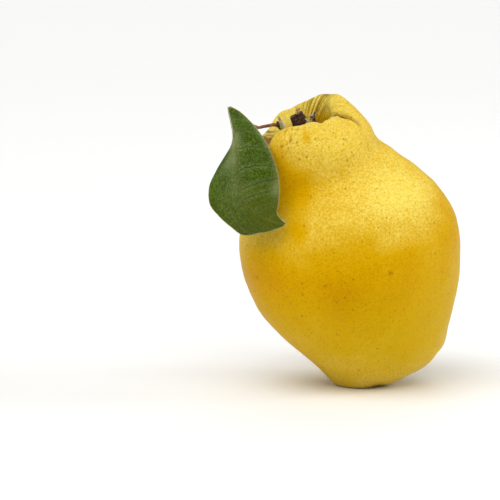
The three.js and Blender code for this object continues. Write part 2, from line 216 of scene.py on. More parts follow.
LEAF_BASE = (-48.1, -14, 106.5)
LEAF_TIP = (-26.7, -38.5, 66.5)
MIDRIB = [
    LEAF_BASE, (-47.3, -17, 103.1), (-46.3, -21, 98.7), (-45.3, -24.5, 94.3), (-44.2, -30, 84.9),
    (-42.9, -33.5, 77), (-40.4, -35.5, 72.5), (-36, -37, 68.8), (-31, -38, 67), LEAF_TIP,
]
RIGHT_MARGIN = [
    LEAF_BASE, (-43.9, -15.5, 104.9), (-38.9, -20, 100.6), (-35.3, -23.8, 96.2), (-32.3, -27, 90.6),
    (-30.1, -29.5, 84.3), (-29.4, -32, 77.8), (-29.9, -34.2, 72.6), (-30.3, -36, 70), (-28.8, -38, 68),
    LEAF_TIP,
]
LEFT_MARGIN = [
    LEAF_BASE, (-46.9, -11.5, 104.5), (-45.4, -12.5, 99.7), (-44.5, -16.5, 94.9), (-46.6, -19.5, 91.4),
    (-49.4, -21.8, 88.3), (-52.2, -24.7, 83.9), (-54.7, -27.5, 78.5), (-54.5, -30, 72.5), (-51.3, -32, 68.4),
    (-46.9, -33.5, 64.6), (-42.5, -34.8, 61.8), (-35.7, -36.5, 62.8), (-29.9, -38, 64.6), LEAF_TIP,
]
BLADE_BULGE = 0.1
BLADE_THICKNESS = 0.5
BLADE_ROWS = 230
BLADE_COLUMNS = 70  # to each side of the midrib
BLADE_LENGTH = 57
LINE_STEPS = 1201  # how finely the midrib and the margins are walked
NARROW_VEIN = 0.25
BROAD_VEIN = 1.1
MIDRIB_REACH = 0.45

# side veins of each half: place along the midrib where each leaves it, how far it leans towards the tip
# by the margin, how much it bends on the way, and how strongly it shows
RIGHT_VEINS = [
    (0.1, 0.03, 0.06, 0.3), (0.21, 0.03, 0.08, 0.45), (0.33, 0.06, 0.06, 1), (0.42, 0.03, 0.08, 0.35),
    (0.49, 0, 0.09, 1), (0.61, 0.03, 0.015, 0.8), (0.68, 0.03, 0.02, 0.7), (0.78, 0.02, 0.03, 0.4),
    (0.87, 0.01, 0.02, 0.3),
]
LEFT_VEINS = [
    (-0.22, 1, 0, 0.4), (-0.08, 1, 0, 0.9), (0.14, 0.75, 0, 0.4), (0.36, 0.54, 0, 1.3), (0.5, 0.5, 0, 0.5),
    (0.63, 0.4, 0, 0.4), (0.76, 0.25, 0, 0.3),
]
# painted highlights of the leaf's gloss: place along, place out from the midrib
# (below 0 on the left half), reach of each, and amount
PAINTED_GLOSS = [
    (0.27, -0.1, 0.07, 0.3, 1), (0.4, -0.3, 0.06, 0.3, 0.55), (0.57, -0.15, 0.12, 0.3, 0.2),
    (0.11, -0.4, 0.05, 0.5, 0.8), (0.28, 0.98, 0.16, 0.1, 0.4), (0.57, 0.98, 0.2, 0.08, 0.35),
    (0.72, 0.88, 0.05, 0.15, 0.5),
]

STALK_PATH = [
    (-23.3, -11, 95.8), (-26.3, -11.9, 97), (-28.6, -12.8, 98.9), (-30.8, -13.3, 99.9),
    (-33.1, -13.4, 99.6), (-35.2, -13.3, 99.2), (-37, -13, 98.9), (-39.3, -12.8, 99.7),
    (-41.5, -12.5, 101.8), (-43.9, -12.8, 104), (-45.9, -13.2, 105.5), (-47.5, -13.8, 106.3),
]
STALK_RADII = [1, 0.9, 0.8, 0.7, 0.62, 0.58, 0.58, 0.6, 0.6, 0.6, 0.6, 0.5]

# ---------------------------------------------------------------- the dry pieces' form

SPUR_PATH = [(-17.2, -7.8, 90.4), (-19.3, -9, 95.8), (-21.2, -9.8, 99.8), (-23.1, -10.2, 103.4)]
SPUR_RADII = [2.5, 2.7, 3, 2.4]
KNOB_PATH = [(-22.2, -10.2, 102.2), (-22.3, -10.1, 103.8), (-22.3, -10, 105), (-21.9, -9.9, 105.9)]
KNOB_RADII = [1.1, 0.8, 0.8, 0.6]
BRACT_PATH = [
    (-13.1, -8.1, 91.8), (-14.8, -8.9, 96.6), (-16.5, -9.3, 100.4), (-16.9, -9.6, 102.8),
    (-15.8, -10.2, 104.3),
]
BRACT_WIDTHS = [2.4, 2.4, 2.4, 2.2, 1]
TUFT_PATH = [(-17.9, -11.8, 99.4), (-18.8, -12, 100.8), (-19.9, -12, 101.9)]
TUFT_WIDTHS = [1.7, 2.1, 1]
STIPULE_PATH = [(-26.7, -12.4, 97.2), (-27.9, -14.7, 98.4), (-28.7, -14.9, 101), (-29.4, -14.5, 103.1)]
STIPULE_WIDTHS = [1.1, 1.4, 1.3, 0.6]
BUD_PATH = [(-28.3, -13, 98.4), (-29.2, -14.3, 99.2), (-30, -14.3, 101.3)]
BUD_WIDTHS = [0.9, 1.3, 0.7]
HAIRY_EDGE_PATH = [(-26.6, -15.2, 97.2), (-27.1, -15.4, 98.9), (-27.7, -15.3, 100.6), (-28.3, -14.9, 102.2)]
HAIRY_EDGE_WIDTHS = [0.6, 0.8, 0.7, 0.4]

# radius, height out of the hollow and width along each sepal
SEPAL = [(2.2, 1.4, 2.6), (3.8, 3, 3.3), (4.8, 5.4, 3.2), (5.2, 7.6, 2.2), (4.2, 9, 0.9)]
SEPALS = 5
SEPAL_TURN = 20
STAMENS = 22
STAMEN_TURN = 137.5  # the golden angle, so that no two stand in line

# ---------------------------------------------------------------- the studio's measures, in metres

AIM = (-0.040, -0.005, 0.0521)
CAMERA_DISTANCE = 0.9
CAMERA_ELEVATION = 8  # degrees
SENSOR_WIDTH = 36  # millimetres
FRAME_WIDTH = 0.1875  # what the picture takes in at the aim
LAMP_AIM = (-0.01, 0, 0.05)
FLOOR_REACH = 14.0


# ---------------------------------------------------------------- lines, rings and meshes

def bell(x):
    return np.exp(-np.square(x))


def turn_between(a, b):
    return (a - b + 180) % 360 - 180


def smooth_rows(rows, places):
    """Rows at these places from 0 to 1, on a smooth Catmull-Rom line through the given ones."""
    rows = np.asarray(rows, float)
    at = np.clip(places, 0, 1) * (len(rows) - 1)
    i = np.minimum(np.floor(at).astype(int), len(rows) - 2)
    t = (at - i)[..., None]
    padded = np.vstack([2 * rows[0] - rows[1], rows, 2 * rows[-1] - rows[-2]])
    a, b, c, d = (padded[i + k] for k in range(4))
    return (2 * b + (c - a) * t + (2 * a - 5 * b + 4 * c - d) * t ** 2 + (3 * b - a - 3 * c + d) * t ** 3) / 2


def even_places(rows, count, crowd=None):
    """Places at equal steps of length; crowd gives more of them where it is above 1."""
    fine = np.linspace(0, 1, 3000)
    step = np.linalg.norm(np.diff(smooth_rows(rows, fine), axis=0), axis=1)
    if crowd is not None:
        step = step * crowd(fine[1:])
    length = np.concatenate([[0], np.cumsum(step)])
    return np.interp(np.linspace(0, length[-1], count), length, fine)


def along_line(points, count):
    """Points at equal steps of length on the smooth line through the given ones."""
    return smooth_rows(points, even_places(points, count))


def unit(vectors):
    return vectors / np.maximum(np.linalg.norm(vectors, axis=-1, keepdims=True), 1e-12)


def line_frames(points):
    """The way along a line of points, and two directions across it that don't twist."""
    ahead = unit(np.gradient(points, axis=0))
    side = np.cross(ahead[0], (0, 0, 1) if abs(ahead[0][2]) < 0.9 else (1, 0, 0))
    sides = []
    for way in ahead:
        side = unit(side - way * np.dot(side, way))
        sides.append(side)
    sides = np.array(sides)
    return ahead, sides, np.cross(ahead, sides)


def closed_mesh(name, start, rings, end, attributes=None):
    """A closed mesh over rings of points, shut by a point at each end, in metres."""
    count, sides = rings.shape[:2]
    points = np.vstack([[start], rings.reshape(-1, 3), [end]]) * MM
    last = len(points) - 1
    ring, side = np.meshgrid(np.arange(count - 1), np.arange(sides), indexing="ij")
    after = (side + 1) % sides
    quads = np.stack([ring * sides + side, ring * sides + after,
                      (ring + 1) * sides + after, (ring + 1) * sides + side], -1) + 1
    here, there = np.arange(sides), (np.arange(sides) + 1) % sides
    foot = np.stack([np.zeros(sides, int), 1 + there, 1 + here], -1)
    top = np.stack([np.full(sides, last), last - sides + here, last - sides + there], -1)
    faces = quads.reshape(-1, 4).tolist() + foot.tolist() + top.tolist()
    if signed_volume(points, faces[:len(faces) - 2 * sides]) < 0:
        faces = [face[::-1] for face in faces]
    mesh = bpy.data.meshes.new(name)
    mesh.from_pydata(points.tolist(), [], faces)
    for label, values in (attributes or {}).items():
        flat = np.concatenate([values[:1, :1].ravel(), values.ravel(), values[-1:, :1].ravel()])
        mesh.attributes.new(label, "FLOAT", "POINT").data.foreach_set("value", flat.astype(np.float32))
    return finished(name, mesh)


def signed_volume(points, quads):
    quads = np.array(quads)
    a, b, c, d = (points[quads[:, k]] for k in range(4))
    return (np.einsum("ij,ij->", a, np.cross(b, c)) + np.einsum("ij,ij->", a, np.cross(c, d))) / 6


def finished(name, mesh):
    """A smooth-shaded object for a mesh, in the scene and riding on the part."""
    mesh.validate()
    mesh.shade_smooth()
    piece = bpy.data.objects.new(name, mesh)
    bpy.context.scene.collection.objects.link(piece)
    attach(piece, "root")
    return piece


def noise_at(points, size, seed=0):
    """Perlin noise from about -1 to 1 at an array of points, with lumps of this size."""
    flat = points.reshape(-1, 3) / size + seed * 17.3
    return np.array([noise.noise(Vector(p)) for p in flat]).reshape(points.shape[:-1]) * 1.6


# ---------------------------------------------------------------- materials

MIX_A, MIX_B, MIX_OUT = 6, 7, 2  # a colour Mix node's sockets


def srgb(hex_colour):
    """The linear colour of an sRGB hex value."""
    parts = [int(hex_colour[k:k + 2], 16) / 255 for k in (0, 2, 4)]
    return (*(p / 12.92 if p <= 0.04045 else ((p + 0.055) / 1.055) ** 2.4 for p in parts), 1)


def add_node(tree, kind, settings=None, links=None):
    """A node of this kind: settings are properties, input values or a ramp's stops; links feed inputs."""
    node = tree.nodes.new(kind)
    for name, value in (settings or {}).items():
        if name == "stops":
            while len(node.color_ramp.elements) < len(value):
                node.color_ramp.elements.new(1)
            for element, (place, colour) in zip(node.color_ramp.elements, value):
                element.position = place
                element.color = srgb(colour)
        elif isinstance(name, int) or name in node.inputs:
            node.inputs[name].default_value = value
        else:
            setattr(node, name, value)
    for name, socket in (links or {}).items():
        tree.links.new(socket, node.inputs[name])
    return node


def lumps_of(size):
    """A pattern's scale, for lumps of this size in millimetres."""
    return 1 / (size * MM)


def new_material(name):
    material = bpy.data.materials.new(name)
    material.use_nodes = True
    material.node_tree.nodes.clear()
    return material, material.node_tree


def close_material(tree, surface):
    add_node(tree, "ShaderNodeOutputMaterial", {}, {"Surface": surface.outputs[0]})


def lay_tints(tree, colour, tints):
    """A colour with tints laid over it in turn.

    Each tint is its hex value, the socket that says where it lies, and its share.
    """
    for tint, where, share in tints:
        part = add_node(
            tree, "ShaderNodeMath", {"operation": "MULTIPLY", 1: share, "use_clamp": True}, {0: where})
        mixed = add_node(
            tree, "ShaderNodeMix", {"data_type": "RGBA", MIX_B: srgb(tint)},
            {0: part.outputs[0], MIX_A: colour})
        colour = mixed.outputs[MIX_OUT]
    return colour


def quince_skin():
    """Ripe quince skin: a thin waxy cuticle over yellow flesh, with some down left on it.

    It gives the eye a deep golden yellow that turns lemon where some down is left, a faint satin gloss,
    corky pores, and olive and russet streaks where the skin is drawn into the stem hollow.
    Painted light and shade lie in it too: the lemon tone and the pale down paint highlights on the neck
    and shoulders and light the base, and darker amber and brown paint shade beside the leaf, in the crease
    and deep in the stem hollow.
    """
    material, tree = new_material("waxy_quince_skin")
    place = add_node(tree, "ShaderNodeTexCoord").outputs["Object"]

    marks = {name: add_node(tree, "ShaderNodeAttribute", {"attribute_name": name}).outputs["Fac"]
             for name in ("tone", "greener", "streaked", "crease", "bands", "stain", "marks")}

    # the pigment runs from amber to lemon with the skin's tone, patchy at 25, 5 and 0.8 mm;
    # the tone holds painted light and shade as well as the skin's own colour
    tones = [marks["tone"]]
    for size, reach in ((25, 0.7), (4.762, 0.35), (0.7692, 1.3)):
        patches = add_node(
            tree, "ShaderNodeTexNoise", {"Scale": lumps_of(size), "Detail": 2, "Roughness": 0.6},
            {"Vector": place})
        shift = add_node(
            tree, "ShaderNodeMapRange", {"To Min": -reach / 2, "To Max": reach / 2},
            {"Value": patches.outputs["Fac"]})
        tones.append(add_node(tree, "ShaderNodeMath", {}, {0: tones[-1], 1: shift.outputs[0]}).outputs[0])
    level = add_node(tree, "ShaderNodeMapRange", {"From Min": -1.0, "From Max": 1.0}, {"Value": tones[-1]})
    pigment = add_node(
        tree, "ShaderNodeValToRGB",
        {"stops": [(0.0, "B67C00"), (0.3, "C89100"), (0.5, "D09F02"), (0.7, "D8AC0C"), (0.85, "E0BD20"),
                   (1.0, "E6CC36")]},
        {"Fac": level.outputs[0]})

    # what is left of the down lies on the neck, the shoulders and the base, as pale flecks 0.8 mm across;
    # they follow the lemon tone, so they also paint a pale sheen where those parts are lit
    flecks = add_node(
        tree, "ShaderNodeTexNoise", {"Scale": lumps_of(0.7692), "Detail": 2, "Roughness": 0.7},
        {"Vector": place})
    downy_and_sheen = add_node(
        tree, "ShaderNodeMapRange",
        {"From Min": 0.0, "From Max": 0.9, "To Min": 0.0, "To Max": 0.3, "interpolation_type": "SMOOTHSTEP"},
        {"Value": tones[2]})
    fleck = add_node(
        tree, "ShaderNodeMapRange", {"From Min": 0.4, "From Max": 0.6, "To Min": 0.4, "To Max": 1.6},
        {"Value": flecks.outputs["Fac"]})
    down = add_node(
        tree, "ShaderNodeMath", {"operation": "MULTIPLY"}, {0: downy_and_sheen.outputs[0], 1: fleck.outputs[0]})
    tints = [("CBAA0E", marks["greener"], 0.65), ("F2E08C", down.outputs[0], 1)]

    # pores: corky dots 0.7 mm across in a quarter of the 3 mm cells, and two finer, fainter sets;
    # each set's cell, a dot's reach in cells, the share of cells with one, its strength and colour
    for cell, size, share, depth, tint in (
            (3.0303, 0.12, 0.26, 0.7, "8A5606"),
            (1.4286, 0.2, 0.5, 0.5, "A06C04"),
            (0.8333, 0.26, 0.5, 0.38, "9A6804")):
        cells = add_node(tree, "ShaderNodeTexVoronoi", {"Scale": lumps_of(cell)}, {"Vector": place})
        lot = add_node(tree, "ShaderNodeSeparateColor", {}, {0: cells.outputs["Color"]})
        kept = add_node(
            tree, "ShaderNodeMath", {"operation": "LESS_THAN", 1: share}, {0: lot.outputs[0]})
        dot = add_node(
            tree, "ShaderNodeMapRange",
            {"From Min": size * 1.5, "From Max": size * 0.5, "To Max": depth},
            {"Value": cells.outputs["Distance"]})
        mask = add_node(
            tree, "ShaderNodeMath", {"operation": "MULTIPLY"}, {0: kept.outputs[0], 1: dot.outputs[0]})
        tints.append((tint, mask.outputs[0], 1))

    # streaks drawn into the stem hollow, from the way round and the height along the spine
    around = add_node(
        tree, "ShaderNodeCombineXYZ", {},
        {k: add_node(tree, "ShaderNodeAttribute", {"attribute_name": label}).outputs["Fac"]
         for k, label in enumerate(("around_x", "around_y", "spine_height"))})
    streaks = add_node(
        tree, "ShaderNodeTexNoise", {"Scale": 1, "Detail": 5, "Roughness": 0.7, "Distortion": 0.2},
        {"Vector": around.outputs[0]})
    # the crest's stain, and painted shade deep in the stem hollow
    tints.append(("7A5410", marks["stain"], 0.75))
    for low, high, strength, tint in ((0.42, 0.54, 0.65, "94781A"), (0.5, 0.6, 0.85, "5C3E18")):
        line = add_node(
            tree, "ShaderNodeMapRange", {"From Min": low, "From Max": high, "To Max": strength},
            {"Value": streaks.outputs["Fac"]})
        mask = add_node(
            tree, "ShaderNodeMath", {"operation": "MULTIPLY"}, {0: line.outputs[0], 1: marks["streaked"]})
        tints.append((tint, mask.outputs[0], 1))
    # the crease's dark line is partly a stain and partly painted shade
    tints += [
        ("7C5630", marks["bands"], 0.9), ("5E3A14", marks["crease"], 1), ("84440E", marks["marks"], 0.85)]
    colour = lay_tints(tree, pigment.outputs["Color"], tints)

    grain = add_node(
        tree, "ShaderNodeTexNoise", {"Scale": lumps_of(0.9091), "Detail": 2, "Roughness": 0.6},
        {"Vector": place})
    bump = add_node(
        tree, "ShaderNodeBump", {"Strength": 0.6, "Distance": 0.3 * MM}, {"Height": grain.outputs["Fac"]})
    skin = add_node(
        tree, "ShaderNodeBsdfPrincipled",
        {"Roughness": 0.42, "IOR": 1.45, "Specular IOR Level": 0.06, "Specular Tint": srgb("FFD860")},
        {"Base Color": colour, "Normal": bump.outputs[0]})
    close_material(tree, skin)
    return material


def leaf_upper():
    """The upper side of a living quince leaf: dark green, leathery and finely hairy.

    It gives the eye a soft, broken gloss, partly painted on as pale patches, sunken veins darkened with
    painted shade and lit on their flanks with painted highlights, a dull red midrib and a thin pale margin.
    """
    material, tree = new_material("leaf_upper_side")
    place = add_node(tree, "ShaderNodeTexCoord").outputs["Object"]
    marks = {name: add_node(tree, "ShaderNodeAttribute", {"attribute_name": name}).outputs["Fac"]
             for name in ("vein", "midrib", "margin", "bloom", "along")}
    patches = add_node(
        tree, "ShaderNodeTexNoise", {"Scale": lumps_of(5.263), "Detail": 3}, {"Vector": place})
    hairs = add_node(
        tree, "ShaderNodeTexNoise", {"Scale": lumps_of(0.6667), "Detail": 2, "Roughness": 0.7},
        {"Vector": place})
    mottled = add_node(
        tree, "ShaderNodeMath", {"operation": "MULTIPLY_ADD", 1: 0.35},
        {0: patches.outputs["Fac"], 2: hairs.outputs["Fac"]})
    green = add_node(
        tree, "ShaderNodeValToRGB", {"stops": [(0.5, "223608"), (0.67, "3F5609"), (0.85, "60762A")]},
        {"Fac": mottled.outputs[0]})
    tip = add_node(tree, "ShaderNodeMapRange", {"From Min": 0.5, "From Max": 0.85}, {"Value": marks["along"]})
    rust = add_node(
        tree, "ShaderNodeMapRange", {"From Min": 0.52, "From Max": 0.62}, {"Value": hairs.outputs["Fac"]})
    rusty = add_node(
        tree, "ShaderNodeMath", {"operation": "MULTIPLY"}, {0: rust.outputs[0], 1: marks["midrib"]})
    # the pale patches and the vein flanks are painted highlights, the veins' dark grooves painted shade
    colour = lay_tints(tree, green.outputs["Color"], [
        ("4E540E", tip.outputs[0], 0.7), ("9CA474", marks["bloom"], 0.66), ("24360A", marks["vein"], 0.75),
        ("5E6A2C", marks["midrib"], 0.5), ("8A4A26", rusty.outputs[0], 0.5),
        ("B9B27C", marks["margin"], 0.8)])
    bump = add_node(
        tree, "ShaderNodeBump", {"Strength": 1, "Distance": 0.6 * MM}, {"Height": hairs.outputs["Fac"]})
    blade = add_node(
        tree, "ShaderNodeBsdfPrincipled",
        {"Roughness": 0.45, "IOR": 1.45, "Specular IOR Level": 0.14, "Specular Tint": srgb("E4F0A8")},
        {"Base Color": colour, "Normal": bump.outputs[0]})
    close_material(tree, blade)
    return material


def leaf_under():
    """The underside of a quince leaf: pale grey-green, matt with a thin felt of hairs."""
    material, tree = new_material("leaf_felted_underside")
    place = add_node(tree, "ShaderNodeTexCoord").outputs["Object"]
    felt = add_node(
        tree, "ShaderNodeTexNoise", {"Scale": lumps_of(1.1111), "Detail": 3}, {"Vector": place})
    green = add_node(
        tree, "ShaderNodeValToRGB", {"stops": [(0.35, "76845A"), (0.65, "98A47A")]},
        {"Fac": felt.outputs["Fac"]})
    veins = [("B4B48A", add_node(tree, "ShaderNodeAttribute", {"attribute_name": name}).outputs["Fac"], share)
             for name, share in (("vein", 0.7), ("midrib", 0.9))]
    colour = lay_tints(tree, green.outputs["Color"], veins)
    bump = add_node(
        tree, "ShaderNodeBump", {"Strength": 0.5, "Distance": 0.1 * MM}, {"Height": felt.outputs["Fac"]})
    blade = add_node(
        tree, "ShaderNodeBsdfPrincipled",
        {"Roughness": 0.85, "IOR": 1.4, "Sheen Weight": 0.4, "Sheen Roughness": 0.5,
         "Sheen Tint": srgb("E6EAD2")},
        {"Base Color": colour, "Normal": bump.outputs[0]})
    close_material(tree, blade)
    return material


def dry_plant(name, stops, size, depth, sheen=0.0):
    """A dead or dry plant surface in blotches of a few colours, dark to pale, with a rough grain."""
    material, tree = new_material(name)
    place = add_node(tree, "ShaderNodeTexCoord").outputs["Object"]
    blotches = add_node(
        tree, "ShaderNodeTexNoise", {"Scale": lumps_of(size), "Detail": 5, "Roughness": 0.65},
        {"Vector": place})
    colour = add_node(tree, "ShaderNodeValToRGB", {"stops": stops}, {"Fac": blotches.outputs["Fac"]})
    bump = add_node(
        tree, "ShaderNodeBump", {"Strength": 0.8, "Distance": depth * MM},
        {"Height": blotches.outputs["Fac"]})
    surface = add_node(
        tree, "ShaderNodeBsdfPrincipled",
        {"Roughness": 0.85, "IOR": 1.45, "Sheen Weight": sheen, "Sheen Roughness": 0.5},
        {"Base Color": colour.outputs["Color"], "Normal": bump.outputs[0]})
    close_material(tree, surface)
    return material


def dead_wood():
    """Dead twig wood and bark: nearly black brown, with grey-brown broken fibres."""
    return dry_plant(
        "dead_twig_wood", [(0.3, "120A08"), (0.48, "301C10"), (0.6, "5C3E28"), (0.7, "94785A")], 0.7, 0.35)


def frayed_bract():
    """A dead bract, split into fibres: dark brown with bone-pale threads."""
    return dry_plant(
        "frayed_dead_bract", [(0.38, "1E1410"), (0.47, "54392A"), (0.53, "9A7C58"), (0.6, "EADCC0")],
        0.7, 0.3)


def broken_end():
    """Where the twig broke off: tan wood, darker in the cracks."""
    return dry_plant("broken_twig_end", [(0.3, "3A2818"), (0.46, "A87C48"), (0.62, "E2BE7A")], 0.8, 0.3)


def green_bark():
    """The leaf stalk's living bark: dull red-brown, darker in its grooves."""
    return dry_plant("leaf_stalk_bark", [(0.3, "4E2A1A"), (0.5, "8A5632"), (0.72, "B48650")], 1.2, 0.1)


def woolly_scale():
    """A dry stipule under a felt of hairs: grey-green with pale edges."""
    return dry_plant("woolly_dry_scale", [(0.3, "66603A"), (0.5, "A09868"), (0.7, "D2CA98")], 0.8, 0.2, 0.5)


def pale_hairs():
    """The matted pale hairs along a stipule's edge."""
    return dry_plant("matted_pale_hairs", [(0.3, "A09468"), (0.5, "CFC494"), (0.7, "E8E0C0")], 0.6, 0.1, 0.5)


def dry_husk():
    """The calyx's dry sepals: papery mid-brown with grey wool."""
    return dry_plant("dry_calyx_husk", [(0.3, "4A3620"), (0.5, "7A6240"), (0.7, "A8946C")], 1.0, 0.2, 0.4)


def pale_floor():
    """Matt white board: it takes a soft shadow, and its pale light comes back from the fruit's edges."""
    material, tree = new_material("matt_white_board")
    board = add_node(
        tree, "ShaderNodeBsdfPrincipled", {"Base Color": srgb("F8F8F6"), "Roughness": 0.9, "IOR": 1.45})
    close_material(tree, board)
    return material


# ---------------------------------------------------------------- the fruit

def spine_at(heights):
    """The spine's points at these heights, with its right, back and up directions."""
    t = np.clip(heights / SPINE_LENGTH, -0.2, 1.2)[..., None]
    a, b, c, d = SPINE
    points = (1 - t) ** 3 * a + 3 * (1 - t) ** 2 * t * b + 3 * (1 - t) * t ** 2 * c + t ** 3 * d
    up = unit((1 - t) ** 2 * (b - a) + 2 * (1 - t) * t * (c - b) + t ** 2 * (d - c))
    right = unit(np.array([1.0, 0, 0]) - up * up[..., :1])
    return points, right, np.cross(up, right), up


def furrow_depth(furrows, angles):
    return sum(depth * bell(turn_between(angles, middle) / width) for middle, depth, width in furrows)


def swelling(heights, angles):
    return sum(amount * bell((heights - middle) / along) * bell(turn_between(angles, direction) / reach)
               for middle, direction, along, reach, amount in SWELLINGS)


def skin_points(places, angles, fine=False):
    """Points of the skin for a grid of places along the rings and angles round them."""
    rows = smooth_rows(RINGS, places)
    step = 1e-4
    along = unit((smooth_rows(RINGS, places + step) - smooth_rows(RINGS, places - step))[:, :2])
    height, radius, shift, stem, blossom, rib = (rows[:, k, None] for k in range(6))
    along_h, along_r = along[:, :1], along[:, 1:]
    angle = np.asarray(angles, float)[None]
    turn = np.radians(angle)
    relief = (stem * (STEM_LOBE - furrow_depth(STEM_FURROWS, angle))
              + blossom * (BLOSSOM_LOBE - furrow_depth(BLOSSOM_FURROWS, angle))
              + rib * RIBS[1] * np.cos(np.radians(RIBS[0] * angle + RIBS[2]))
              + np.clip(1 + 2 * along_h, 0, 1) * swelling(height, angle))
    if fine:
        relief = relief + fine_relief(places, height, radius, angle)
    push = relief * np.clip(radius / FADE_RADIUS, 0, 1)
    rim = (RIM_TILT[0] * np.cos(np.radians(angle - RIM_TILT[1]))
           + RIM_SADDLE[0] * np.cos(np.radians(2 * (angle - RIM_SADDLE[1]))))
    points, right, back, _ = spine_at(height - along_r * push + stem * rim)
    out = radius + along_h * push
    points = points + right * (shift + out * np.cos(turn))[..., None] + back * (out * np.sin(turn))[..., None]
    z = points[..., 2]
    soft = (z + FLAT_BLEND) ** 2 / (4 * FLAT_BLEND)
    points[..., 2] = np.where(z >= FLAT_BLEND, z, np.where(z <= -FLAT_BLEND, 0, soft))
    return points


def inside_stem_hollow(places):
    """0 on the body, rising to 1 from the stem rim's crest down into the hollow."""
    return np.clip((places * (len(RINGS) - 1) - STEM_RIM + 1.2) / 2, 0, 1)


def inside_blossom_hollow(places):
    return np.clip((BLOSSOM_RIM + 0.5 - places * (len(RINGS) - 1)) / 1.5, 0, 1)


def fine_relief(places, height, radius, angle):
    """Dimples and ripples all over, puckers in the two hollows, the crease, and the rim's lumps."""
    turn = np.radians(angle)
    rough = np.stack(np.broadcast_arrays(radius * np.cos(turn), radius * np.sin(turn), height), -1)
    relief = DIMPLES[1] * noise_at(rough, DIMPLES[0], 1) + RIPPLES[1] * noise_at(rough, RIPPLES[0], 2)
    wave = np.stack(
        np.broadcast_arrays(PUCKERS[1] * np.cos(turn), PUCKERS[1] * np.sin(turn), height * 0.12), -1)
    puckers = noise_at(wave, 1, 3) + 0.5 * noise_at(wave, 0.5, 4)
    drawn_in = (inside_stem_hollow(places)[:, None] * streaked(angle)
                + inside_blossom_hollow(places)[:, None])
    past = past_stem_rim(places)
    high, roll_width, roll_turn = CREASE_ROLL
    deep, fold_width = CREASE_FOLD
    roll = high * bell(from_crease(past, angle - roll_turn) / roll_width) * bell((past + 7) / 4)
    fold = (deep * crease_shown(past) * bell(from_crease(past, angle) / fold_width)
            * np.clip(-past / 2.5, 0, 1))
    lumps = sum(amount * bell(turn_between(angle, direction) / reach) * bell((past - middle) / spread)
                for direction, reach, middle, spread, amount in RIM_LUMPS)
    return relief + PUCKERS[0] * puckers * drawn_in + roll - fold + lumps


def streaked(angle):
    return sum(strength * bell(turn_between(angle, middle) / width) for middle, width, strength in STREAKS)


def from_crease(past, angle):
    """Millimetres over the skin from the crease to places this far past the stem rim's crest."""
    line = smooth_rows(CREASE, np.linspace(0, 1, 50))
    return np.min([np.hypot(past - way, CREASE_RADIUS * np.radians(turn_between(angle, direction)))
                   for way, direction in line], axis=0)


def crease_shown(past):
    """The crease comes in softly over 2.5 mm at its outer end."""
    return np.clip((past - CREASE[0][0] + 1) / 2.5, 0, 1)


def tone_with_painted_light(height, angle):
    """How lemon the skin is at these places: 1 is lemon, 0 gold and -1 amber; part of it is painted light and
    shade.
    """
    heights, tones = np.array(TONE_AND_PAINTED_LIGHT).T
    return np.interp(height, heights, tones) + sum(
        amount * bell((height - middle) / along) * bell(turn_between(angle, direction) / reach)
        for middle, direction, along, reach, amount in TONE_AND_PAINTED_LIGHT_PATCHES)


def past_stem_rim(places):
    """Millimetres of skin from the crest of the stem rim to these places, below 0 outside the hollow."""
    rows = smooth_rows([ring[:2] for ring in RINGS], places)
    length = np.concatenate([[0], np.cumsum(np.linalg.norm(np.diff(rows, axis=0), axis=1))])
    return (length - np.interp(STEM_RIM / (len(RINGS) - 1), places, length))[:, None]


def make_fruit():
    crowd = lambda places: 1 + 0.9 * inside_stem_hollow(places) + 0.6 * inside_blossom_hollow(places)
    places = even_places([ring[:2] for ring in RINGS], SKIN_STEPS + 2, crowd)
    angles = np.arange(SKIN_SIDES) * 360 / SKIN_SIDES
    points = skin_points(places, angles, fine=True)
    height = smooth_rows(RINGS, places)[:, :1]
    past = past_stem_rim(places)
    sunk = np.where(past > 0, RINGS[STEM_RIM][0] - height, 0)
    turn = np.radians(angles[None] - STREAK_TWIST * np.minimum(sunk / STREAK_TWIST_DEPTH, 1.5))
    bands = (np.interp(points[..., 2], *np.array(BANDS).T) * np.interp(angles[None], *np.array(BANDED).T)
             * bell(past / BAND_REACH))
    crest, crest_reach, direction, reach = CREST_STAIN
    crest_stain = bell((past - crest) / crest_reach) * bell(turn_between(angles[None], direction) / reach)
    hollow_shade_start, hollow_shade_depth = HOLLOW_PAINTED_SHADE
    shade_in, shade_turn, shade_width, shade = CREASE_SHADE
    line = bell(from_crease(past, angles[None]) / CREASE_LINE)
    beside = shade * bell(from_crease(past - shade_in, angles[None] - shade_turn) / shade_width)
    marks = sum(bell(np.linalg.norm(points - mark[:3], axis=-1) / mark[3]) for mark in np.array(MARKS))
    inner = slice(1, -1)
    spread = lambda values: np.broadcast_to(values, (SKIN_STEPS + 2, SKIN_SIDES))[inner]
    fruit = closed_mesh("fruit_flesh_and_skin", points[0, 0], points[inner], points[-1, 0], {
        "around_x": spread(STREAK_CROWD * np.cos(turn)),
        "around_y": spread(STREAK_CROWD * np.sin(turn)),
        "spine_height": spread(STREAK_STRETCH * height),
        # the tone carries painted light and shade as well as the skin's colour
        "tone": spread(tone_with_painted_light(height, angles[None]) + np.interp(sunk, *np.array(HOLLOW_PAINTED_LIGHT_AND_SHADE).T)),
        "greener": spread(np.interp(height, *np.array(GREENER).T)),
        "streaked": spread(inside_stem_hollow(places)[:, None] * streaked(angles[None])),
        "crease": spread(crease_shown(past) * np.maximum(line, beside)),
        "bands": spread(bands),
        # painted shade deep in the stem hollow, added to the crest's stain
        "stain": spread(np.maximum(crest_stain, np.clip((sunk - hollow_shade_start) / hollow_shade_depth, 0, 1))),
        "marks": spread(np.clip(marks, 0, 1)),
    })
    fruit.data.materials.append(quince_skin())
    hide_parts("fruit")


# ---------------------------------------------------------------- the leaf

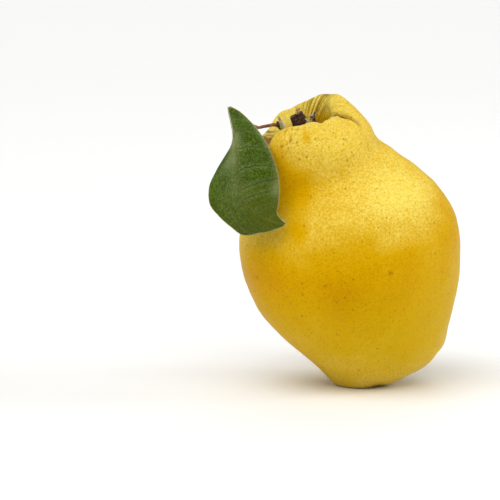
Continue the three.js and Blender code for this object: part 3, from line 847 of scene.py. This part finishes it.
def vein_strength(veins, along, out, width):
    """How strongly the side veins show at these places; width is theirs, in millimetres."""
    strength = 0
    for start, lean, bend, amount in veins:
        line = start + lean * out + bend * out ** 2
        slope = math.hypot(1, 1.6 * lean)
        shown = amount * np.clip(1.2 - 0.5 * out, 0, 1)
        strength = np.maximum(strength, shown * bell((along - line) * BLADE_LENGTH / (width * slope)))
    return strength


def make_leaf_blade():
    places = np.linspace(0, 1, BLADE_ROWS + 2)[1:-1]
    places = 0.5 - 0.5 * np.cos(np.pi * places) * (1 - 0.35 * np.sin(np.pi * places) ** 2)
    lines = [smooth_rows(line, even_places(line, LINE_STEPS)) for line in (MIDRIB, RIGHT_MARGIN, LEFT_MARGIN)]
    steps = np.linspace(0, 1, LINE_STEPS)
    midrib, right, left = (
        np.stack([np.interp(places, steps, line[:, k]) for k in range(3)], -1) for line in lines)
    way = unit(np.gradient(midrib, axis=0))
    out = np.linspace(0, 1, BLADE_COLUMNS + 1)[None]
    along = places[:, None]
    halves = []
    for margin, veins, sign in ((right, RIGHT_VEINS, 1), (left, LEFT_VEINS, -1)):
        span = margin - midrib
        reach = np.linalg.norm(span, axis=1)[:, None]
        swell = unit(np.cross(way, span)) * sign
        ground = np.stack(np.broadcast_arrays(along * 9, out * 5, sign), -1)
        wander = along + 0.006 * noise_at(ground, 1, 21)
        narrow = vein_strength(veins, wander, out, NARROW_VEIN)
        broad = vein_strength(veins, wander, out, BROAD_VEIN)
        rib = bell(out * reach / MIDRIB_REACH)
        points = midrib[:, None] + span[:, None] * out[..., None]
        lift = (4 * out * (1 - out) * BLADE_BULGE * reach - 0.16 * narrow
                - 0.36 * broad * np.clip(3 * out, 0, 1)
                - 0.15 * rib + 0.06 * noise_at(points, 3.5, 22))
        edge = np.clip((out * reach - reach + 0.35) / 0.25, 0, 1)
        # pale patches, and the veins' flanks: painted highlights of the leaf's gloss
        bloom = sum(amount * bell((along - middle) / length) * bell((sign * out - place) / breadth)
                    for middle, place, length, breadth, amount in PAINTED_GLOSS) + 0.3 * (broad - narrow)
        halves.append((points + swell[:, None] * lift[..., None], narrow, rib, edge, bloom))
    middle = [np.concatenate([l[:, ::-1], r[:, 1:]], axis=1) for r, l in zip(*halves)]
    points, vein, rib, edge, bloom = middle
    normal = unit(np.cross(np.gradient(points, axis=0), np.gradient(points, axis=1)))
    offset = normal * BLADE_THICKNESS / 2
    columns = points.shape[1]
    both = lambda values: np.concatenate([values, values[:, ::-1]], axis=1)
    rings = np.concatenate([points + offset, (points - offset)[:, ::-1]], axis=1)
    blade = closed_mesh("leaf_blade_with_veins", LEAF_BASE, rings, LEAF_TIP, {
        "vein": both(vein),
        "midrib": both(rib),
        "margin": both(edge),
        "bloom": both(bloom),
        "along": both(np.broadcast_to(along, vein.shape)),
    })
    blade.data.materials.append(leaf_upper())
    blade.data.materials.append(leaf_under())
    front = offset[BLADE_ROWS // 2, columns // 2]
    first_is_upper = front[1] < 0
    sides = 2 * columns
    is_first = np.tile(np.arange(sides), BLADE_ROWS + 1) < columns
    index = np.where(is_first == first_is_upper, 0, 1).astype(np.int32)
    blade.data.polygons.foreach_set("material_index", index)
    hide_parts("leaf_blade")


# ---------------------------------------------------------------- stems and scales

def stem_rings(path, radii, sides, steps, squareness=0.0, roughness=0.0, grain=1.0, seed=0):
    middle = along_line(path, steps)
    radius = smooth_rows(np.array(radii, float)[:, None], np.linspace(0, 1, steps))
    _, side, up = line_frames(middle)
    turn = np.arange(sides) * 2 * np.pi / sides
    reach = radius * (1 - squareness * np.cos(4 * turn))[None]
    ring = lambda reach: (middle[:, None] + side[:, None] * (reach * np.cos(turn))[..., None]
                          + up[:, None] * (reach * np.sin(turn))[..., None])
    if roughness:
        reach = reach * (1 + roughness * noise_at(ring(reach), grain, seed))
    return middle, ring(reach)


def make_stem(name, path, radii, material, **form):
    middle, rings = stem_rings(path, radii, **form)
    stem = closed_mesh(name, middle[0], rings, middle[-1])
    stem.data.materials.append(material)
    return stem


def make_scale(name, path, widths, facing, material, thickness, cup, frill=0.0, seed=0):
    """A small dry scale, cupped across its width, with an uneven edge."""
    steps, columns = 60, 24
    middle = along_line(path, steps)
    width = smooth_rows(np.array(widths, float)[:, None], np.linspace(0, 1, steps))
    way = unit(np.gradient(middle, axis=0))
    side = unit(np.cross(way, facing))
    front = np.cross(side, way)
    across = np.linspace(-1, 1, columns)[None]
    half = width / 2
    points = (middle[:, None] + side[:, None] * (half * across)[..., None]
              + front[:, None] * (cup * half * across ** 2)[..., None])
    if frill:
        points = points + front[:, None] * (frill * np.abs(across) * noise_at(points, 1.1, seed))[..., None]
    normal = unit(np.cross(np.gradient(points, axis=0), np.gradient(points, axis=1)))
    body = thickness * (1 - 0.6 * np.abs(across) ** 3)[..., None] / 2
    rings = np.concatenate([points + normal * body, (points - normal * body)[:, ::-1]], axis=1)
    scale = closed_mesh(name, middle[0], rings, middle[-1])
    scale.data.materials.append(material)
    return scale


def make_dry_pieces():
    wood = dead_wood()
    stub = make_stem("twig_stub", SPUR_PATH, SPUR_RADII, wood, sides=96, steps=90, squareness=0.2,
                     roughness=0.08, grain=0.6, seed=5)
    knob = make_stem("twig_stub_knob", KNOB_PATH, KNOB_RADII, broken_end(), sides=40, steps=40,
                     roughness=0.15, grain=0.7, seed=6)
    for piece in (stub, knob):
        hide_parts("spur")
    bract = make_scale("curled_bract", BRACT_PATH, BRACT_WIDTHS, (0.3, -1, 0.1), frayed_bract(),
                       0.6, 0.5, 0.5, 7)
    wool = woolly_scale()
    tuft = make_scale("woolly_bud_tuft", TUFT_PATH, TUFT_WIDTHS, (0.1, -1, 0.3), wool, 0.5, 0.3, 0.5, 11)
    for piece in (bract, tuft):
        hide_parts("bract")
    stipule = make_scale("woolly_stipule", STIPULE_PATH, STIPULE_WIDTHS, (-0.5, -1, 0.2), wool,
                         0.5, 0.4, 0.3, 8)
    bud = make_scale("bud_scale", BUD_PATH, BUD_WIDTHS, (-0.3, -1, 0.1), wood, 0.6, 0.4, 0.4, 9)
    edge = make_scale("stipule_hairy_edge", HAIRY_EDGE_PATH, HAIRY_EDGE_WIDTHS, (-0.5, -1, 0.2), pale_hairs(),
                      0.3, 0, 0.1, 12)
    for piece in (stipule, bud, edge):
        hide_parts("stipule")
    stalk = make_stem("leaf_stalk_bark", STALK_PATH, STALK_RADII, green_bark(), sides=32, steps=160,
                      roughness=0.08, grain=1.2, seed=10)
    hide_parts("leaf_stalk")


# ---------------------------------------------------------------- the calyx

def make_calyx():
    """Five dry sepals round a tuft of dried stamens, on a low boss, in the blossom hollow."""
    husk = dry_husk()
    floor = skin_points(np.array([0.0]), [0])[0, 0]
    _, right, back, up = (values[0] for values in spine_at(np.array([RINGS[0][0]], float)))

    def at(radius, angle, height):
        turn = math.radians(angle)
        return floor + right * radius * math.cos(turn) + back * radius * math.sin(turn) - up * height

    pieces = [make_stem("calyx_boss", [at(0, 0, 0.3), at(0, 0, 1.4), at(0, 0, 2.6)], [3.4, 3.1, 2.2], husk,
                        sides=60, steps=24, roughness=0.08, grain=1.0, seed=10)]
    for k in range(SEPALS):
        angle = SEPAL_TURN + k * 360 / SEPALS
        path = [at(radius, angle, height) for radius, height, _ in SEPAL]
        facing = at(-1, angle, 0) - at(0, angle, 0)
        pieces.append(make_scale(f"sepal_{k + 1}", path, [width for *_, width in SEPAL], facing, husk,
                                 0.5, 0.5, 0.7, 11 + k))
    for k in range(STAMENS):
        angle = k * STAMEN_TURN
        lean = 0.6 + 2.2 * math.sqrt((k + 0.5) / STAMENS)
        tall = 5 + 0.9 * math.cos(k * 2.1)
        path = [
            at(lean * 0.7, angle, 1.8), at(lean * 0.85, angle + 8, tall * 0.6), at(lean, angle + 24, tall)]
        pieces.append(make_stem(f"stamen_{k + 1}", path, [0.2, 0.16, 0.3], husk, sides=8, steps=14))
    for piece in pieces:
        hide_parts("calyx")


# ---------------------------------------------------------------- camera, light and floor

def make_camera():
    """A long lens that looks slightly down on the fruit's middle from the front."""
    aim = Vector(AIM)
    elevation = math.radians(CAMERA_ELEVATION)
    camera = bpy.data.objects.new("camera", bpy.data.cameras.new("camera"))
    bpy.context.scene.collection.objects.link(camera)
    camera.data.sensor_width = SENSOR_WIDTH
    camera.data.lens = SENSOR_WIDTH * CAMERA_DISTANCE / FRAME_WIDTH
    camera.data.clip_start = 0.01
    camera.location = aim + Vector((0, -math.cos(elevation), math.sin(elevation))) * CAMERA_DISTANCE
    camera.rotation_euler = (aim - camera.location).to_track_quat("-Z", "Y").to_euler()
    bpy.context.scene.camera = camera


def add_light(name, kind, place, power, spread):
    """A white lamp that shines from its place at the fruit; spread is its size or a sun's angle."""
    light = bpy.data.lights.new(name, kind)
    light.energy = power
    if kind == "SUN":
        light.angle = math.radians(spread)
    else:
        light.shape = "DISK"
        light.size = spread
    lamp = bpy.data.objects.new(name, light)
    bpy.context.scene.collection.objects.link(lamp)
    lamp.location = place
    lamp.rotation_euler = (Vector(LAMP_AIM) - Vector(place)).to_track_quat("-Z", "Y").to_euler()


def make_studio():
    add_light("front_softbox", "SUN", (0.3, -1.2, 1.5), 1.0, 45)
    add_light("overhead_softbox", "SUN", (-0.7, -0.6, 1.8), 1.1, 45)
    add_light("left_softbox", "SUN", (-1.2, -1.0, 1.2), 0.6, 60)
    add_light("back_softbox", "SUN", (0.1, 1.2, 1.6), 0.5, 45)
    add_light("right_softbox", "AREA", (1.1, 0.0, 0.5), 4.2, 0.5)
    add_light("rim_softbox", "AREA", (0.7, 0.45, 0.4), 0.4, 0.4)
    world = bpy.data.worlds.new("pale_room")
    world.use_nodes = True
    world.node_tree.nodes.clear()
    glow = add_node(world.node_tree, "ShaderNodeBackground", {"Color": srgb("FFFFFF"), "Strength": 0.25})
    add_node(world.node_tree, "ShaderNodeOutputWorld", {}, {"Surface": glow.outputs[0]})
    bpy.context.scene.world = world
    bpy.context.scene.view_settings.view_transform = "Standard"


def make_floor():
    reach = FLOOR_REACH
    corners = [(-reach, -reach, 0), (reach, -reach, 0), (reach, reach, 0), (-reach, reach, 0)]
    mesh = bpy.data.meshes.new("floor")
    mesh.from_pydata(corners, [], [(0, 1, 2, 3)])
    floor = bpy.data.objects.new("floor", mesh)
    bpy.context.scene.collection.objects.link(floor)
    floor.data.materials.append(pale_floor())


make_camera()
make_fruit()
make_leaf_blade()
make_dry_pieces()
make_calyx()
make_studio()
make_floor()
